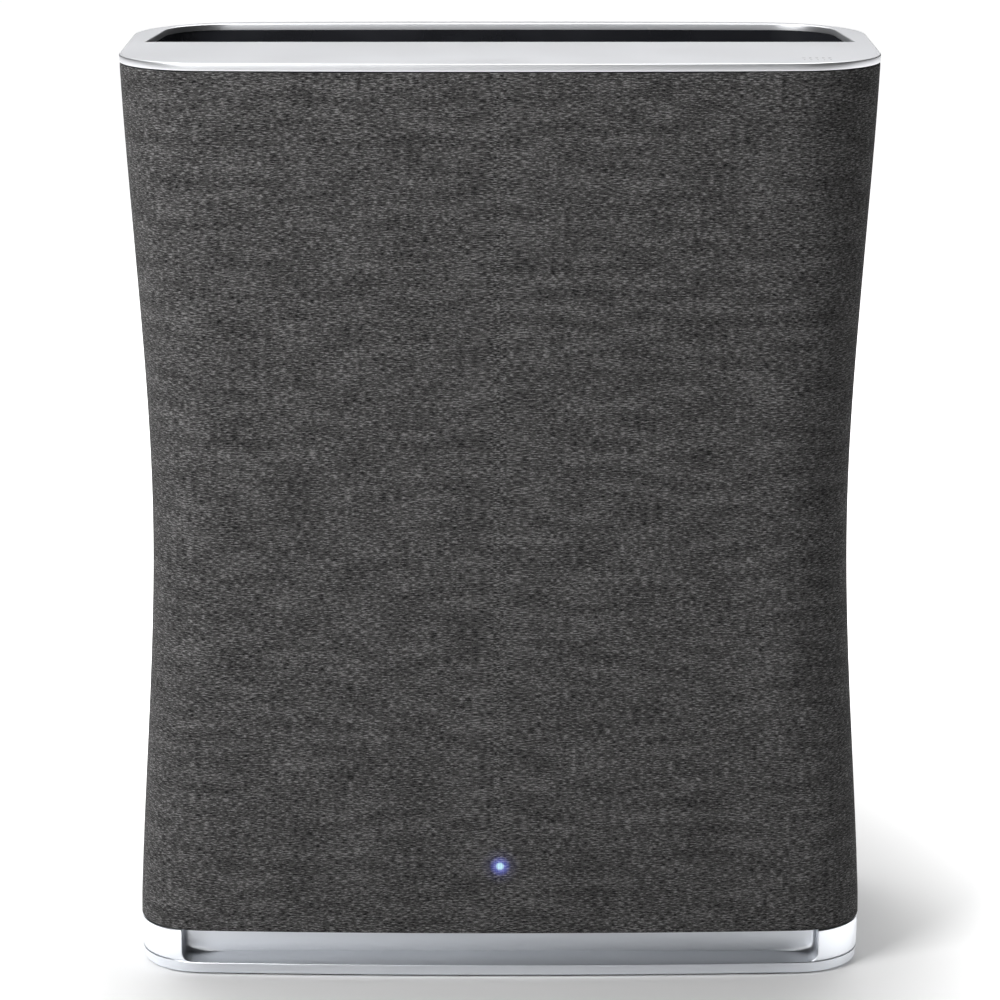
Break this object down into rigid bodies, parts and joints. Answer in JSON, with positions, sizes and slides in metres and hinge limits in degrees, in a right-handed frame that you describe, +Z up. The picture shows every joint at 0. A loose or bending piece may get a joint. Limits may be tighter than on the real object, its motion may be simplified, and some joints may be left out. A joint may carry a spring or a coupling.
{
  "type": "air purifier",
  "caption": "Floor-standing air purifier: waisted textile body, metal top frame with air slot, metal recessed base, pull-off front cover, filter cassette and radial fan.",
  "frame": {"origin": "on the floor under the centre of the body", "axes": "+Z up, the front faces -Y, +X to the viewer's right"},
  "size_m": [0.496, 0.256, 0.612],
  "materials": {
    "satin_aluminium": "satin anodised",
    "black_rubber": "matte",
    "black_abs": "fine moulded texture",
    "black_gloss": "moulded gloss",
    "white_abs": "moulded",
    "black_wire": "powder coat",
    "grey_nylon": "moulded",
    "grey_textile": "melange knit",
    "zinc_steel": "zinc plated",
    "lamination_steel": "stamped laminations",
    "magnet": "sintered ferrite",
    "copper": "enamelled copper wire",
    "cast_aluminium": "die cast",
    "filter_paper": "pleated glass-fibre paper",
    "carbon_granules": "granules in netting",
    "blue_ribbon": "woven ribbon",
    "symbol_ink": "filled marks",
    "lens": "clear",
    "circuit_board": "solder mask",
    "component": "moulded cases",
    "light_pipe": "clear acrylic"
  },
  "bodies": {
    "housing": {"base_frame": "satin_aluminium", "rubber_feet": "black_rubber", "bottom_tray": "black_abs", "base_screws": "zinc_steel", "mains_inlet": "black_gloss", "inlet_pins": "zinc_steel", "rear_cover_shell": "black_abs", "rear_fabric": "grey_textile", "sensor_grille": "black_gloss", "sensor_module": "white_abs", "mid_frame": "black_abs", "fan_scroll": "black_abs", "rear_plate": "black_abs", "inlet_ring": "black_abs", "inlet_guard": "black_wire", "motor_laminations": "lamination_steel", "motor_windings": "copper", "motor_mount": "cast_aluminium", "motor_bearings": "zinc_steel", "motor_screws": "zinc_steel", "outlet_duct": "black_gloss", "outlet_grille": "black_abs", "top_carrier": "black_abs", "top_frame": "satin_aluminium", "top_frame_screws": "zinc_steel", "touch_symbols": "symbol_ink", "indicator_lenses": "lens", "touch_board": "circuit_board", "power_board": "circuit_board", "board_components": "component", "status_light_board": "circuit_board", "status_light_pipe": "light_pipe", "light_bracket": "white_abs", "catch_plates": "zinc_steel", "catch_brackets": "black_abs"},
    "impeller": {"impeller_wheel": "grey_nylon", "impeller_shroud": "grey_nylon", "rotor_can": "zinc_steel", "rotor_magnets": "magnet", "motor_shaft": "zinc_steel"},
    "front_cover": {"front_cover_panel": "black_abs", "front_cover_left_wing": "black_abs", "front_cover_right_wing": "black_abs", "front_fabric": "grey_textile", "cover_magnets": "magnet"},
    "filter": {"filter_frame": "white_abs", "hepa_pleats": "filter_paper", "carbon_core": "carbon_granules", "filter_gasket": "black_rubber", "filter_pull_tabs": "blue_ribbon"}
  },
  "joints": [
    {"name": "impeller_spin", "type": "hinge", "parent": "housing", "child": "impeller", "pos_m": [0, 0, 0.27], "axis": [0, 1, 0], "continuous": true},
    {"name": "cover_pull", "type": "slide", "parent": "housing", "child": "front_cover", "axis": [0, -1, 0], "range_m": [0, 0.28]},
    {"name": "filter_pull", "type": "slide", "parent": "housing", "child": "filter", "axis": [0, -1, 0], "range_m": [0, 0.14]}
  ],
  "couplings": [
    {"joint": "filter_pull", "follows": "cover_pull", "ratio": 0.5}
  ]
}
